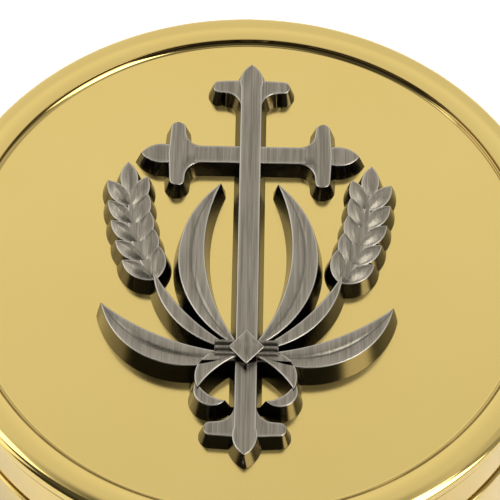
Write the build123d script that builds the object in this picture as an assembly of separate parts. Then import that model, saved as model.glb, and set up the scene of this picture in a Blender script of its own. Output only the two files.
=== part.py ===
from build123d import *
import os
from math import atan, atan2, cos, radians, sin, sqrt

# A round hinged pyx. Millimetres, +Z up, origin at the centre of the base's underside.
# The hinge is at the back (+Y) and the thumb tab at the front (-Y).

# Box
outer_radius = 27.5         # lid flange and base bead
closed_height = 16.0        # table to the lid's border
wall_step = 0.3             # the plain walls stand in from the flange and the bead
seam_gap = 0.15             # lid rim to base mouth
solder_gap = 0.02           # joint line between soldered or riveted pieces
edge_round = 0.12           # broken edges of the sheet

# Lid
lid_depth = 6.8             # border to rim
border_width = 2.95
recess_depth = 0.5          # the plate lies this far under the border
border_round = 0.26         # inner edge of the border
shoulder_radius = 1.05
flange_lip = 0.15           # straight part of the flange under the shoulder
plate_thickness = 0.8

# Base
bead_depth = 1.2            # bead round the mouth
base_round = 1.8            # outer corner of the foot
cup_corner = 1.0            # inner corner of the floor
cup_wall = 0.8
floor_thickness = 0.8

# Collar
collar_thickness = 0.7
collar_rise = 2.4           # above the base's mouth
skirt_clearance = 0.3       # collar to the inside of the lid's skirt

# Hinge
hinge_width = 12.0
knuckle_count = 5
knuckle_gap = 0.1
barrel_radius = 1.25
barrel_gap = 0.15           # barrel to the flange, and to the other leaf's notches
pin_radius = 0.55
pin_clearance = 0.03
pin_head_radius = 0.95
pin_head_length = 0.45
pin_head_round = 0.27
leaf_height = 3.6
leaf_proud = 0.4            # the leaves stand out from the flange
leaf_corner = 1.2

# Thumb tab
tab_radius = 5.0
tab_reach = 1.9             # out from the lid's wall
tab_thickness = 1.2
tab_round = 0.45
tab_rise = 0.4              # above the rim

# Spring catch
catch_width = 5.0
catch_thickness = 0.35
catch_gap = 0.12            # room to tilt at the rivets
catch_foot = 3.4            # lower end of the tongue
catch_pivot_rise = 0.8      # rivet line above the lower end
catch_top_inset = 0.3       # tongue's top under the collar's top
catch_rivet_radius = 0.5
catch_rivet_head_radius = 0.9
catch_rivet_head = 0.35
catch_rivet_edge = 1.1      # rivets' centres in from the tongue's sides
rivet_hole_clearance = 0.06
nib_width = 2.6
nib_height = 1.0
nib_gap = 0.1               # nib to the lid's skirt
notch_margin = 0.4          # collar notch round the nib

# Emblem, drawn on a grid of squares that fills the plate up to a clear margin
emblem_margin = 3.58        # from the top of the cross to the border
foot_margin = 4.72          # from the foot of the cross to the border
emblem_reach = 20.8         # squares from the plate's centre to the top of the cross
cross_height = 1.5          # stem and upright lobes above the plate
bar_height = 1.4            # bar and level lobes above the plate
sheaf_height = 2.05         # leaves above the plate
grain_height = 1.95
stalk_height = 1.85
tie_height = 2.25
boss_height = 2.55
draft = 0.46                # the castings' sides lean out by this, down to the plate
draft_foot = 0.1            # straight part of a strip's sides, at the plate
crossing_gap = 0.05         # sheaf to the cross below it
emblem_rivet_radius = 0.45
emblem_rivet_depth = 0.9    # into the castings
emblem_rivet_head_radius = 1.1
emblem_rivet_head = 0.5
emblem_rivet_round = 0.35

# Cross, in squares
stem_half = 0.92
bar_half = 0.9
bar_level = 10.8
arm_reach = 9.6
petal_length = 2.6
petal_half = 1.02
petal_swell = 1.6           # from the tip to the widest place
lobe_set_back = 2.5         # from the stem's tips to its lobes
side_lobe_set_back = 3.2    # from the bar's tips to its lobes
lobe_span = 3.4             # half the tip-to-tip width of a pair of lobes
lobe_half = 0.8             # half the width of a lobe at the arm
lobe_end = 0.6              # half the width of a lobe near its end
lobe_round = 0.55
flare_length = 2.6
flare_radius = 1.5

# Sheaf's right half, in squares: each blade's two tips, and how far its edges bow to the left between them
inner_leaf_foot = (0.4, -9.7)
inner_leaf_tip = (2.5, 7.2)
inner_leaf_bows = (-2.2, -4.5)
lower_leaf_foot = (0.8, -10.2)
lower_leaf_tip = (12.4, -5.4)
lower_leaf_bows = (-1.0, -3.4)
stalk_foot = (0.6, -9.8)
stalk_tip = (8.1, -1.9)
stalk_bows = (-0.8, -2.0)
tail_foot = (0.3, -10.2)
tail_tip = (4.0, 3.57)      # up from the middle of the cross's foot lobes
tail_bows = (1.9, 0.4)
curl_foot = (4.1, 4.27)     # up from the middle of the cross's foot lobes
curl_tip = (1.7, 2.47)      # up from the middle of the cross's foot lobes
curl_bows = (1.4, 0.4)
ear_foot = (7.6, -3.3)
ear_tip = (10.4, 6.2)
ear_bow = -0.5
grain_pairs = 5
grain_length = 3.5
grain_half = 0.78
grain_splay = 30.0          # degrees from the ear's axis
grain_start = 0.35          # first pair, in steps up the ear
tie_half_width = 2.7
tie_half_height = 0.9
tie_level = -9.7
boss_half_width = 1.5
boss_half_height = 1.7
upper_rivet_level = 14.5
lower_rivet_level = -12.9

# Worked out from the sizes above
wall_radius = outer_radius - wall_step
plate_radius = outer_radius - border_width
cup_radius = wall_radius - cup_wall
collar_radius = cup_radius - solder_gap
collar_bore = collar_radius - collar_thickness
skirt_bore = collar_radius + skirt_clearance
rim_z = closed_height - lid_depth
mouth_z = rim_z - seam_gap
plate_z = closed_height - recess_depth
plate_under = plate_z - plate_thickness
flange_z = closed_height - shoulder_radius - flange_lip
collar_foot = floor_thickness + cup_corner + solder_gap
collar_top = mouth_z + collar_rise
hinge_y = outer_radius + barrel_gap + barrel_radius
hinge_z = rim_z - seam_gap / 2
knuckle_length = (hinge_width - knuckle_gap * (knuckle_count - 1)) / knuckle_count
catch_pivot_z = catch_foot + catch_pivot_rise
catch_top = collar_top - catch_top_inset
catch_face = sqrt(collar_bore ** 2 - (catch_width / 2) ** 2) - catch_gap
grid = (plate_radius - emblem_margin) / emblem_reach
foot_reach = (foot_margin - plate_radius) / grid
foot_lobe_level = foot_reach + lobe_set_back
inner_leaf = (inner_leaf_foot, inner_leaf_tip, *inner_leaf_bows)
lower_leaf = (lower_leaf_foot, lower_leaf_tip, *lower_leaf_bows)
stalk = (stalk_foot, stalk_tip, *stalk_bows)
tail = (tail_foot, (tail_tip[0], foot_lobe_level + tail_tip[1]), *tail_bows)
tail_curl = ((curl_foot[0], foot_lobe_level + curl_foot[1]), (curl_tip[0], foot_lobe_level + curl_tip[1]),
             *curl_bows)
emblem_z = plate_z + solder_gap


def lathe(points, radii):
    """Revolve a closed profile of (radius, height) points about Z, its inner corners rounded."""
    profile = FilletPolyline(*points, radius=radii)
    closing = Line(points[-1], points[0])
    return revolve(Plane.XZ * make_face([profile, closing]), Axis.Z)


def upright(radius, low, high, x=0.0, y=0.0):
    """A round bar along Z."""
    return Pos(x, y, (low + high) / 2) * Cylinder(radius, high - low)


def along_x(radius, start, end):
    """A round bar along X on the hinge axis."""
    return Pos((start + end) / 2, hinge_y, hinge_z) * Rot(0, 90, 0) * Cylinder(radius, end - start)


def block(low, high):
    """A box between two corners."""
    size = [h - l for l, h in zip(low, high)]
    middle = [(h + l) / 2 for l, h in zip(low, high)]
    return Pos(*middle) * Box(*size)


def base_cup():
    """Turned cup with a rounded foot and a bead at its mouth."""
    bead_z = mouth_z - bead_depth
    points = [(0, 0), (wall_radius, 0), (wall_radius, bead_z), (outer_radius, bead_z + wall_step),
              (outer_radius, mouth_z), (cup_radius, mouth_z), (cup_radius, floor_thickness),
              (0, floor_thickness)]
    return lathe(points, [base_round, edge_round, edge_round, 2 * edge_round, edge_round, cup_corner])


def catch_notch():
    """The cut in the collar's top edge that the catch's nib reaches through."""
    half = nib_width / 2 + notch_margin
    low = catch_top - nib_height - notch_margin
    return block((-half, -skirt_bore, low), (half, -collar_bore / 2, collar_top + edge_round))


def catch_rivet_places():
    """The two rivets' distances from the middle."""
    place = catch_width / 2 - catch_rivet_edge
    return (-place, place)


def catch_rivet_bar(radius, start, end, x):
    """A round bar along Y on the catch's rivet line."""
    return Pos(x, (start + end) / 2, catch_pivot_z) * Rot(90, 0, 0) * Cylinder(radius, end - start)


def base_collar():
    """Ring inside the cup that stands up into the lid, notched for the catch and drilled for its rivets."""
    points = [(collar_bore, collar_foot), (collar_radius, collar_foot), (collar_radius, collar_top),
              (collar_bore, collar_top)]
    ring = lathe(points, [0, 2 * edge_round])
    ring -= catch_notch()
    for x in catch_rivet_places():
        ring -= catch_rivet_bar(catch_rivet_radius + solder_gap, -outer_radius, -collar_bore / 2, x)
    return ring


def lid_shell():
    """Turned lid: sunk plate, border, shoulder, flange and skirt, drilled for the emblem's rivets."""
    points = [(0, plate_z), (plate_radius, plate_z), (plate_radius, closed_height),
              (outer_radius, closed_height), (outer_radius, flange_z), (wall_radius, flange_z - wall_step),
              (wall_radius, rim_z), (skirt_bore, rim_z), (skirt_bore, plate_under), (0, plate_under)]
    border_edge = min(border_round, recess_depth - 2 * edge_round)
    radii = [edge_round, border_edge, shoulder_radius, edge_round, edge_round, edge_round, edge_round, 0]
    shell = lathe(points, radii)
    hole = emblem_rivet_radius + 2 * solder_gap
    for x, y in emblem_rivet_places():
        shell -= upright(hole, plate_under - edge_round, plate_z + edge_round, x, y)
    return shell


def knuckle_spans(first):
    """Start and end of every second knuckle along X, from the one numbered first."""
    pitch = knuckle_length + knuckle_gap
    starts = [-hinge_width / 2 + i * pitch for i in range(first, knuckle_count, 2)]
    return [(start, start + knuckle_length) for start in starts]


def hinge_leaf(low, own_first, other_first, web_low, web_high, ledge_z):
    """Curved leaf on the wall, cut back above ledge_z, with its own knuckles and room for the other's."""
    plate = extrude(Plane.XZ * RectangleRounded(hinge_width, leaf_height, leaf_corner), -2 * outer_radius)
    drum = upright(outer_radius + leaf_proud, low, low + leaf_height)
    leaf = drum & Pos(0, 0, low + leaf_height / 2) * plate
    for start, end in knuckle_spans(own_first):
        leaf += along_x(barrel_radius, start, end)
        leaf += block((start, outer_radius / 2, web_low), (end, hinge_y, web_high))
    for start, end in knuckle_spans(other_first):
        leaf -= along_x(barrel_radius + barrel_gap, start - knuckle_gap, end + knuckle_gap)
    leaf -= along_x(pin_radius + pin_clearance, -hinge_width, hinge_width)
    leaf -= upright(outer_radius + solder_gap, ledge_z - solder_gap, closed_height)
    return leaf - upright(wall_radius + solder_gap, 0, closed_height)


def hinge_base_leaf():
    """Leaf on the base, cut to sit over the bead."""
    low = mouth_z - edge_round - leaf_height
    return hinge_leaf(low, 0, 1, hinge_z - barrel_radius, hinge_z - pin_radius, mouth_z - bead_depth)


def hinge_lid_leaf():
    """Leaf on the lid's skirt, under the flange."""
    low = rim_z + edge_round
    return hinge_leaf(low, 1, 0, hinge_z + pin_radius, hinge_z + barrel_radius, flange_z - wall_step)


def hinge_pin():
    """Pin through the knuckles, with a domed head at each end."""
    end = hinge_width / 2 + knuckle_gap / 2
    pin = along_x(pin_radius, -end - pin_head_length, end + pin_head_length)
    for side in (-1, 1):
        head = Rot(0, 90 * side, 0) * Cylinder(pin_head_radius, pin_head_length)
        rim = max(head.edges(), key=lambda edge: side * edge.center().X)
        dome = fillet(rim, pin_head_round)
        pin += Pos(side * (end + pin_head_length / 2), hinge_y, hinge_z) * dome
    return pin


def thumb_tab():
    """Half-moon lip on the front of the skirt."""
    disc = Cylinder(tab_radius, tab_thickness)
    disc = fillet(disc.edges().filter_by(GeomType.CIRCLE), tab_round)
    centre_y = tab_radius - wall_radius - tab_reach
    centre_z = rim_z + tab_rise + tab_thickness / 2
    return Pos(0, centre_y, centre_z) * disc - upright(wall_radius + solder_gap, 0, closed_height)


def catch_spring():
    """Flat spring tongue with a rounded nib that bears on the lid's skirt."""
    half = catch_width / 2
    tongue = block((-half, -catch_face, catch_foot), (half, catch_thickness - catch_face, catch_top))
    for x in catch_rivet_places():
        hole = catch_rivet_radius + rivet_hole_clearance
        tongue -= catch_rivet_bar(hole, -outer_radius, 0, x)
    nib_reach = skirt_bore - nib_gap
    side = nib_width / 2
    nib = block((-side, -nib_reach, catch_top - nib_height), (side, -catch_face, catch_top))
    nib &= upright(nib_reach, 0, closed_height)
    return tongue + nib


def catch_rivets():
    """Two rivets, headed inside, flush with the collar's outside."""
    rivets = []
    head_y = catch_thickness - catch_face + catch_gap
    for x in catch_rivet_places():
        tail_y = -sqrt(collar_radius ** 2 - (abs(x) + catch_rivet_radius) ** 2)
        shank = catch_rivet_bar(catch_rivet_radius, tail_y, head_y, x)
        head = catch_rivet_bar(catch_rivet_head_radius, head_y, head_y + catch_rivet_head, x)
        rivets.append(shank + head)
    return Compound(children=rivets)


def on_grid(x, y):
    """A point of the emblem's drawing, in millimetres."""
    return Vector(x * grid, y * grid)


def blade_face(blade):
    """A shape with two tips, its edges circular arcs that bow to one side or to both."""
    start, end, left, right = on_grid(*blade[0]), on_grid(*blade[1]), blade[2] * grid, blade[3] * grid
    return make_face([SagittaArc(start, end, left), SagittaArc(start, end, right)])


def grown(blade):
    """The same blade at its foot, where its tips and its edges stand out by the draft."""
    (x0, y0), (x1, y1), left, right = blade
    run, length = draft / grid, sqrt((x1 - x0) ** 2 + (y1 - y0) ** 2)
    along_x, along_y = run * (x1 - x0) / length, run * (y1 - y0) / length
    outward = run if left > right else -run
    return ((x0 - along_x, y0 - along_y), (x1 + along_x, y1 + along_y), left + outward, right - outward)


def mirrored(blade):
    """The same blade on the other side of the stem."""
    (x0, y0), (x1, y1), left, right = blade
    return ((-x0, y0), (-x1, y1), -right, -left)


def cast_blade(blade, height):
    """A casting with this blade as its top, whose sides lean out down to the plate."""
    foot, top = blade_face(grown(blade)), Pos(0, 0, height) * blade_face(blade)
    return Pos(0, 0, emblem_z) * loft([foot, top], ruled=True)


def cast_strip(face, height):
    """A casting of this top outline, whose sides lean out down to the plate."""
    body = extrude(offset(face, draft, kind=Kind.INTERSECTION), height)
    top = body.faces().sort_by(Axis.Z)[-1]
    return Pos(0, 0, emblem_z) * chamfer(top.edges(), draft, height - draft_foot, reference=top)


def strip_face(low, high, half):
    """A straight strip along Y with a pointed petal at each end, which swells past the strip's width."""
    corners = [(half, low + petal_length), (half, high - petal_length)]
    right = Line(on_grid(*corners[0]), on_grid(*corners[1]))
    upper = ThreePointArc(on_grid(*corners[1]), on_grid(petal_half, high - petal_swell), on_grid(0, high))
    lower = ThreePointArc(on_grid(0, low), on_grid(petal_half, low + petal_swell), on_grid(*corners[0]))
    edges = [lower, right, upper]
    return make_face(edges + [edge.mirror(Plane.YZ) for edge in edges])


def lobes_face(arm_half):
    """A pair of round-ended lobes across an arm along +Y, flared into the arm on the inner side."""
    corners = [(arm_half, -flare_length), (arm_half, -lobe_half), (lobe_span, -lobe_end),
               (lobe_span, lobe_end), (0, lobe_half)]
    radii = [flare_radius * grid, lobe_round * grid, lobe_round * grid]
    right = FilletPolyline(*[on_grid(x, y) for x, y in corners], radius=radii)
    base = Line(on_grid(-arm_half, -flare_length), on_grid(arm_half, -flare_length))
    return make_face([*right.edges(), *right.mirror(Plane.YZ).edges(), base])


def rivet_hole(x, y):
    """A blind hole in the back of a casting, for a rivet's shank."""
    top = plate_z + emblem_rivet_depth + solder_gap
    return upright(emblem_rivet_radius + solder_gap, plate_z, top, x, y)


def emblem_cross():
    """Cast cross with budded ends: upright pieces stand a little higher than level ones."""
    stem = strip_face(foot_reach, emblem_reach, stem_half)
    bar = Pos(0, bar_level * grid) * Rot(0, 0, 90) * strip_face(-arm_reach, arm_reach, bar_half)
    top = Pos(0, (emblem_reach - lobe_set_back) * grid) * lobes_face(stem_half)
    foot = Pos(0, foot_lobe_level * grid) * Rot(0, 0, 180) * lobes_face(stem_half)
    cross = cast_strip(stem, cross_height) + cast_strip(bar, bar_height)
    cross += cast_strip(top, bar_height) + cast_strip(foot, bar_height)
    for side in (-1, 1):
        lobe_x = side * (arm_reach - side_lobe_set_back) * grid
        place = Pos(lobe_x, bar_level * grid) * Rot(0, 0, -90 * side)
        cross += cast_strip(place * lobes_face(bar_half), cross_height)
    for level in (upper_rivet_level, lower_rivet_level):
        cross -= rivet_hole(0, level * grid)
    return cross


def ear_grains():
    """Pairs of grains up a bowed ear, and one at its tip."""
    (x0, y0), (x1, y1) = ear_foot, ear_tip
    length, heading = sqrt((x1 - x0) ** 2 + (y1 - y0) ** 2), atan2(y1 - y0, x1 - x0)
    turn = 4 * atan(2 * ear_bow / length)
    grains = []
    for step in range(grain_pairs + 1):
        along = min((step + grain_start) / grain_pairs, 1)
        bow = 4 * ear_bow * along * (1 - along)
        x = x0 + length * along * cos(heading) - bow * sin(heading)
        y = y0 + length * along * sin(heading) + bow * cos(heading)
        for splay in (0,) if step == grain_pairs else (-grain_splay, grain_splay):
            angle = heading + turn * (0.5 - along) + radians(splay)
            tip = (x + grain_length * cos(angle), y + grain_length * sin(angle))
            grains.append(((x, y), tip, grain_half, -grain_half))
    return grains


def blade_centre(blade):
    """The middle of a blade, half way between its two edges."""
    (x0, y0), (x1, y1), left, right = blade
    heading, bow = atan2(y1 - y0, x1 - x0), (left + right) / 2
    return (x0 + x1) / 2 - bow * sin(heading), (y0 + y1) / 2 + bow * cos(heading)


def emblem_rivet_places():
    """Two rivets up the cross and one under each inner leaf."""
    x, y = blade_centre(inner_leaf)
    places = [(0, upper_rivet_level), (0, lower_rivet_level), (-x, y), (x, y)]
    return [(px * grid, py * grid) for px, py in places]


def emblem_sheaf():
    """Cast sheaf of two ears and four leaves, tied over the cross's stem."""
    shapes = [(inner_leaf, sheaf_height), (lower_leaf, sheaf_height), (stalk, stalk_height),
              (tail, sheaf_height), (tail_curl, stalk_height)]
    shapes += [(grain, grain_height) for grain in ear_grains()]
    pieces = []
    for blade, height in shapes:
        pieces += [cast_blade(side, height) for side in (blade, mirrored(blade))]
    tie = Pos(0, tie_level * grid) * Rectangle(2 * tie_half_width * grid, 2 * tie_half_height * grid)
    corners = [(boss_half_width, 0), (0, boss_half_height), (-boss_half_width, 0), (0, -boss_half_height)]
    boss = make_face(Polyline(*[on_grid(x, y + tie_level) for x, y in corners], close=True))
    sheaf = cast_strip(tie, tie_height).fuse(cast_strip(boss, boss_height), *pieces)
    half = stem_half * grid + draft + crossing_gap
    bridge_z = emblem_z + cross_height + crossing_gap
    sheaf -= block((-half, -plate_radius, plate_z), (half, plate_radius, bridge_z))
    x, y = blade_centre(inner_leaf)
    for side in (-1, 1):
        sheaf -= rivet_hole(side * x * grid, y * grid)
    return sheaf


def emblem_rivets():
    """Rivets through the plate into the castings, headed inside the lid."""
    rivets = []
    head_top = plate_under - solder_gap
    for x, y in emblem_rivet_places():
        shank = upright(emblem_rivet_radius, head_top, plate_z + emblem_rivet_depth, x, y)
        head = upright(emblem_rivet_head_radius, head_top - emblem_rivet_head, head_top, x, y)
        rivets.append(shank + fillet(head.edges().sort_by(Axis.Z)[0], emblem_rivet_round))
    return Compound(children=rivets)


sub_parts = [base_cup, base_collar, hinge_base_leaf, hinge_lid_leaf, hinge_pin, lid_shell, thumb_tab,
             catch_spring, catch_rivets, emblem_cross, emblem_sheaf, emblem_rivets]
os.makedirs("parts", exist_ok=True)
for sub_part in sub_parts:
    export_step(sub_part(), f"parts/{sub_part.__name__}.step")
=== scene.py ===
"""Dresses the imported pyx: polished gold box, pewter cross and sheaf, hinge, catch, studio and camera."""
from math import cos, pi, radians, sin

import bpy
import numpy as np
from bpy.props import FloatProperty, FloatVectorProperty, IntProperty, PointerProperty
from mathutils import Matrix, Vector


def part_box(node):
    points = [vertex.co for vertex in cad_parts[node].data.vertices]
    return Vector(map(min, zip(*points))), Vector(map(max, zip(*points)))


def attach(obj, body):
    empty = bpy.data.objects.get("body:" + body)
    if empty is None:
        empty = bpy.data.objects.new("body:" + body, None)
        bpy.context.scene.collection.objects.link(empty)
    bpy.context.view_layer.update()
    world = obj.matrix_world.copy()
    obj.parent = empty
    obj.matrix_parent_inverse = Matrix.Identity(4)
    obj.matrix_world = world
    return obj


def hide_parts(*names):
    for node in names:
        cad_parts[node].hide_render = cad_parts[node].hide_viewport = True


bl_info = {
    "name": "Pyx",
    "version": (1, 0, 0),
    "blender": (4, 5, 0),
    "location": "3D View > Sidebar > Pyx",
    "description": "Builds a hinged gold pyx with a pewter emblem on its packed frame",
    "category": "Object",
}

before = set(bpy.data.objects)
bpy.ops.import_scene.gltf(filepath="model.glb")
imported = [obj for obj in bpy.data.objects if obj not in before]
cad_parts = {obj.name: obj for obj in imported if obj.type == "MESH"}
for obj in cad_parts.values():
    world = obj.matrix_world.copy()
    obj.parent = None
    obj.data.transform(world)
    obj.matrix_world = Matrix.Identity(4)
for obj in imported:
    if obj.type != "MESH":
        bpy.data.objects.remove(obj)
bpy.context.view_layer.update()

MM = 0.001
GUARD = 0.03 * MM           # distance of the points that keep a flat flat beside a rounded edge
WELD = 1e-8                 # points closer than this become one
WEAR_AND_SHADE = "wear_and_shade"               # vertex attribute: 1 satin, or black patination with painted shade on the castings; 0 polished or brushed; -1 brown painted shade in the gold's creases, or a painted highlight on the castings' edges, bright from rubbing
BORDER_WIDTH = 2.95         # of the lid, in millimetres
SOLDER = 0.02 * MM          # room between two soldered pieces
BROKEN_EDGE = 0.05 * MM     # radius of an edge that is only just taken off
SMALL_STEPS = 5             # points round a small edge

lid_low, lid_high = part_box("lid_shell")
cup_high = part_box("base_cup")[1]
collar_low, collar_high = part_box("base_collar")
pin_low, pin_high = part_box("hinge_pin")
tab_low, tab_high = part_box("thumb_tab")
spring_low, spring_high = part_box("catch_spring")
spring_rivet_low, spring_rivet_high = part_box("catch_rivets")
rivet_low, rivet_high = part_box("emblem_rivets")
cross_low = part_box("emblem_cross")[0]
lid_leaf_low, lid_leaf_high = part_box("hinge_lid_leaf")
base_leaf_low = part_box("hinge_base_leaf")[0]
HINGE_Y, HINGE_Z = (pin_low.y + pin_high.y) / 2, (pin_low.z + pin_high.z) / 2


# Properties

def length(name, description, millimetres):
    """A size that is shown in the scene's length unit."""
    return FloatProperty(name=name, description=description, default=millimetres * MM, unit="LENGTH",
                         precision=5)


def colour(name, description, rgb):
    """A colour in linear light."""
    return FloatVectorProperty(name=name, description=description, default=rgb, subtype="COLOR", size=3,
                               min=0.0, max=1.0)


def share(name, description, default):
    """A number between none and all."""
    return FloatProperty(name=name, description=description, default=default, min=0.0, max=1.0,
                         subtype="FACTOR")


def plain(name, description, default):
    """A plain number, such as a brightness."""
    return FloatProperty(name=name, description=description, default=default)


def tilt(name, description, degrees):
    """An angle that is shown in degrees."""
    return FloatProperty(name=name, description=description, default=radians(degrees), subtype="ANGLE")


class PyxBox(bpy.types.PropertyGroup):
    """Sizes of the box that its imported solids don't give by themselves."""
    border_width: length("Border", "Width of the lid's raised border", BORDER_WIDTH)
    border_crown: length("Border crown", "How far the border falls from its crest to its inner edge", 0.07)
    border_crest: share("Border crest", "Place of the crest between the inner edge and the shoulder", 0.7)
    border_round: length("Border edge", "Radius of the border's inner edge", 0.05)
    border_back: length("Border set back", "How far the inner edge stands back over the hollow", 0.19)
    recess_depth: length("Recess", "Depth of the sunk plate under the border", 0.5)
    recess_hollow: length("Recess hollow", "Radius of the hollow between plate and border", 0.6)
    shoulder_run: length("Shoulder run", "Width of the lid's rounded outer edge", 1.15)
    shoulder_drop: length("Shoulder drop", "Height of the lid's rounded outer edge", 0.6)
    flange_depth: length("Flange depth", "Top of the border to the flange's lower edge", 1.2)
    groove_depth: length("Groove depth", "Depth of the groove between flange and skirt", 0.36)
    groove_height: length("Groove height", "Height of the groove between flange and skirt", 0.75)
    skirt_round: length("Skirt round", "Radius of the skirt's upper and lower edge", 0.3)
    wall_step: length("Wall step", "How far the walls stand in from flange and bead", 0.3)
    plate_thickness: length("Plate thickness", "Sheet of the sunk plate", 0.8)
    skirt_bore: length("Skirt bore", "Inside radius of the lid's skirt", 26.68)
    cup_bore: length("Cup bore", "Inside radius of the base", 26.4)
    floor_thickness: length("Floor", "Sheet of the base's floor", 0.8)
    foot_round: length("Foot round", "Radius of the base's outer corner", 1.8)
    bead_depth: length("Bead", "Height of the bead round the base's mouth", 1.2)
    collar_thickness: length("Collar", "Sheet of the collar", 0.7)
    segments: IntProperty(name="Segments", description="Steps round the turned pieces", default=360, min=24)


class PyxHinge(bpy.types.PropertyGroup):
    """Sizes of the hinge and of the spring catch."""
    barrel: length("Barrel", "Radius of the knuckles", 1.25)
    bore: length("Bore", "Radius of the hole in the knuckles", 0.58)
    pin: length("Pin", "Radius of the pin", 0.55)
    knuckle_gap: length("Knuckle gap", "Room between two knuckles", 0.1)
    leaf_corner: length("Leaf corner", "Radius of the leaves' corners", 1.2)
    leaf_height: length("Leaf height", "Height of a leaf without its knuckles", 3.6)
    tab_radius: length("Tab radius", "Radius of the thumb tab's disc", 5.0)
    tab_round: length("Tab round", "Radius of the thumb tab's edge", 0.45)
    spring_thickness: length("Spring", "Thickness of the catch's tongue", 0.35)
    nib_width: length("Nib width", "Width of the nib on the catch", 2.6)
    nib_height: length("Nib height", "Height of the nib on the catch", 1.0)


class PyxEmblem(bpy.types.PropertyGroup):
    """Sizes of the castings on the lid."""
    edge: length("Edge", "Radius of the castings' polished edges", 0.12)
    draft: length("Draft", "How far the castings' sides lean out, down to the plate", 0.46)
    cross_height: length("Cross height", "Upright pieces of the cross above the plate", 1.5)
    bar_height: length("Bar height", "Level pieces of the cross above the plate", 1.46)
    leaf_height: length("Leaf height", "Leaves of the sheaf above the plate", 2.05)
    stalk_height: length("Stalk height", "Stalks of the sheaf above the plate", 1.85)
    spine_height: length("Spine height", "Spines of the ears above the plate", 1.6)
    grain_height: length("Grain height", "Grains of the ears above the plate", 1.95)
    tie_height: length("Tie height", "Band round the sheaf above the plate", 2.25)
    boss_height: length("Boss height", "Lozenge on the band above the plate", 2.55)
    rib_depth: length("Rib depth", "Depth of the groove down a leaf", 0.16)


class PyxFinish(bpy.types.PropertyGroup):
    """Colours and gloss."""
    gold: colour("Gold", "Gold plate", (0.76, 0.58, 0.205))
    gold_deep: colour("Deep gold", "Gold plate where it is a little redder", (0.74, 0.545, 0.18))
    brass: colour("Hinge brass", "Brushed hinge", (0.70, 0.53, 0.20))
    # Brown painted shade in the gold's hollow, groove, lip and mouth
    crease_shade: colour("Tarnish", "Gold in creases that no cloth reaches", (0.19, 0.12, 0.035))
    pewter: colour("Pewter", "Bright streaks of the brushed castings", (0.345, 0.308, 0.242))
    pewter_dark: colour("Dark pewter", "Dark streaks of the brushed castings", (0.205, 0.182, 0.142))
    # Painted highlight on the castings' edges, which are also bright from rubbing
    rubbed_highlight: colour("Rubbed pewter", "Edges of the castings, rubbed bright", (0.68, 0.63, 0.54))
    # Black patination with painted shade down the castings' sides and in their grooves
    patina_and_shade: colour("Patina", "Sides of the castings", (0.11, 0.104, 0.092))
    rivet: colour("Rivet brass", "Rivets inside the lid and the collar", (0.55, 0.42, 0.17))
    spring: colour("Spring strip", "Steel of the catch", (0.5, 0.5, 0.49))
    rim_gloss: share("Rim roughness", "Roughness of the border, shoulder and walls", 0.07)
    satin: share("Satin roughness", "Roughness of the insides", 0.34)
    pewter_gloss: share("Pewter roughness", "Roughness of the brushed faces", 0.36)
    patina_gloss: share("Patina roughness", "Roughness of the castings' sides", 0.2)


class PyxStage(bpy.types.PropertyGroup):
    """Camera and studio."""
    distance: length("Distance", "Camera to the middle of the lid's border", 240.0)
    elevation: tilt("Elevation", "Camera above the horizon", 56.1)
    roll: tilt("Roll", "Turn of the camera about its own axis", 1.2)
    focal: plain("Focal length", "Lens in millimetres", 198.8)
    aim_right: length("Aim right", "Aim to the right of the lid's middle", 0.14)
    aim_up: length("Aim up", "Aim above the lid's middle, across the view", 1.08)
    back_light: plain("Back light", "Brightness behind the box", 1.06)
    front_light: plain("Front light", "Brightness low in front, behind the camera", 0.045)
    right_light: plain("Right soft box", "Brightness of the soft box at the right", 5.0)
    left_light: plain("Left soft box", "Brightness of the soft box at the left", 3.2)
    floor_white: plain("Floor white", "Glow that lifts the floor to white", 0.5)
    floor_glint: plain("Floor in the gold", "Glow of the floor as the metal shows it", 0.3)


# Surfaces

def unit(vector):
    """The same direction with length one."""
    return vector / np.linalg.norm(vector)


def arc(centre, radius, start, end, steps):
    """Points on a circle from one angle to another, in degrees: centre + radius (cos a, sin a)."""
    angle = np.radians(np.linspace(start, end, steps))
    return np.stack([centre[0] + radius * np.cos(angle), centre[1] + radius * np.sin(angle)], 1)


def rounded(corners, radii, steps=7):
    """A line through corners whose inner corners become arcs: each arc touches both its straight runs.

    A point beside each end of an arc keeps the flat next to it flat when it is shaded."""
    corners = np.asarray(corners, float)
    runs = [corners[:1]]
    for before, corner, after, radius in zip(corners[:-2], corners[1:-1], corners[2:], radii):
        back, ahead = unit(before - corner), unit(after - corner)
        half = np.arccos(np.clip(back @ ahead, -1, 1)) / 2
        reach = radius / np.tan(half)
        middle = corner + unit(back + ahead) * radius / np.sin(half)
        first, last = corner + back * reach - middle, corner + ahead * reach - middle
        start = np.arctan2(first[1], first[0])
        turn = (np.arctan2(last[1], last[0]) - start + pi) % (2 * pi) - pi
        angle = start + turn * np.linspace(0, 1, steps)
        curve = middle + radius * np.stack([np.cos(angle), np.sin(angle)], 1)
        runs += [[corner + back * (reach + GUARD)], curve, [corner + ahead * (reach + GUARD)]]
    return np.vstack(runs + [corners[-1:]])


def closed_line(corners, radii, steps=SMALL_STEPS):
    """A closed line with rounded corners that starts halfway between its last corner and its first."""
    corners = np.asarray(corners, float)
    start = (corners[:1] + corners[-1:]) / 2
    return rounded(np.vstack([start, corners, start]), radii, steps)[:-1]


def turned(profile, segments, axis="Z", centre=(0, 0, 0), wear_and_shade=0.0):
    """The shell of a profile of (radius, height) carried round an axis.

    Across it is radius (cos a, sin a), and along it is the height."""
    angle = 2 * pi * np.arange(segments) / segments
    along = np.repeat(profile[:, 1, None], segments, 1)
    one, two = profile[:, 0, None] * np.cos(angle), profile[:, 0, None] * np.sin(angle)
    places = {"Z": (one, two, along), "X": (along, one, two), "Y": (two, along, one)}
    return shell(np.stack(places[axis], -1) + np.array(centre), wrap_columns=True, wear_and_shade=wear_and_shade)


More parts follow.
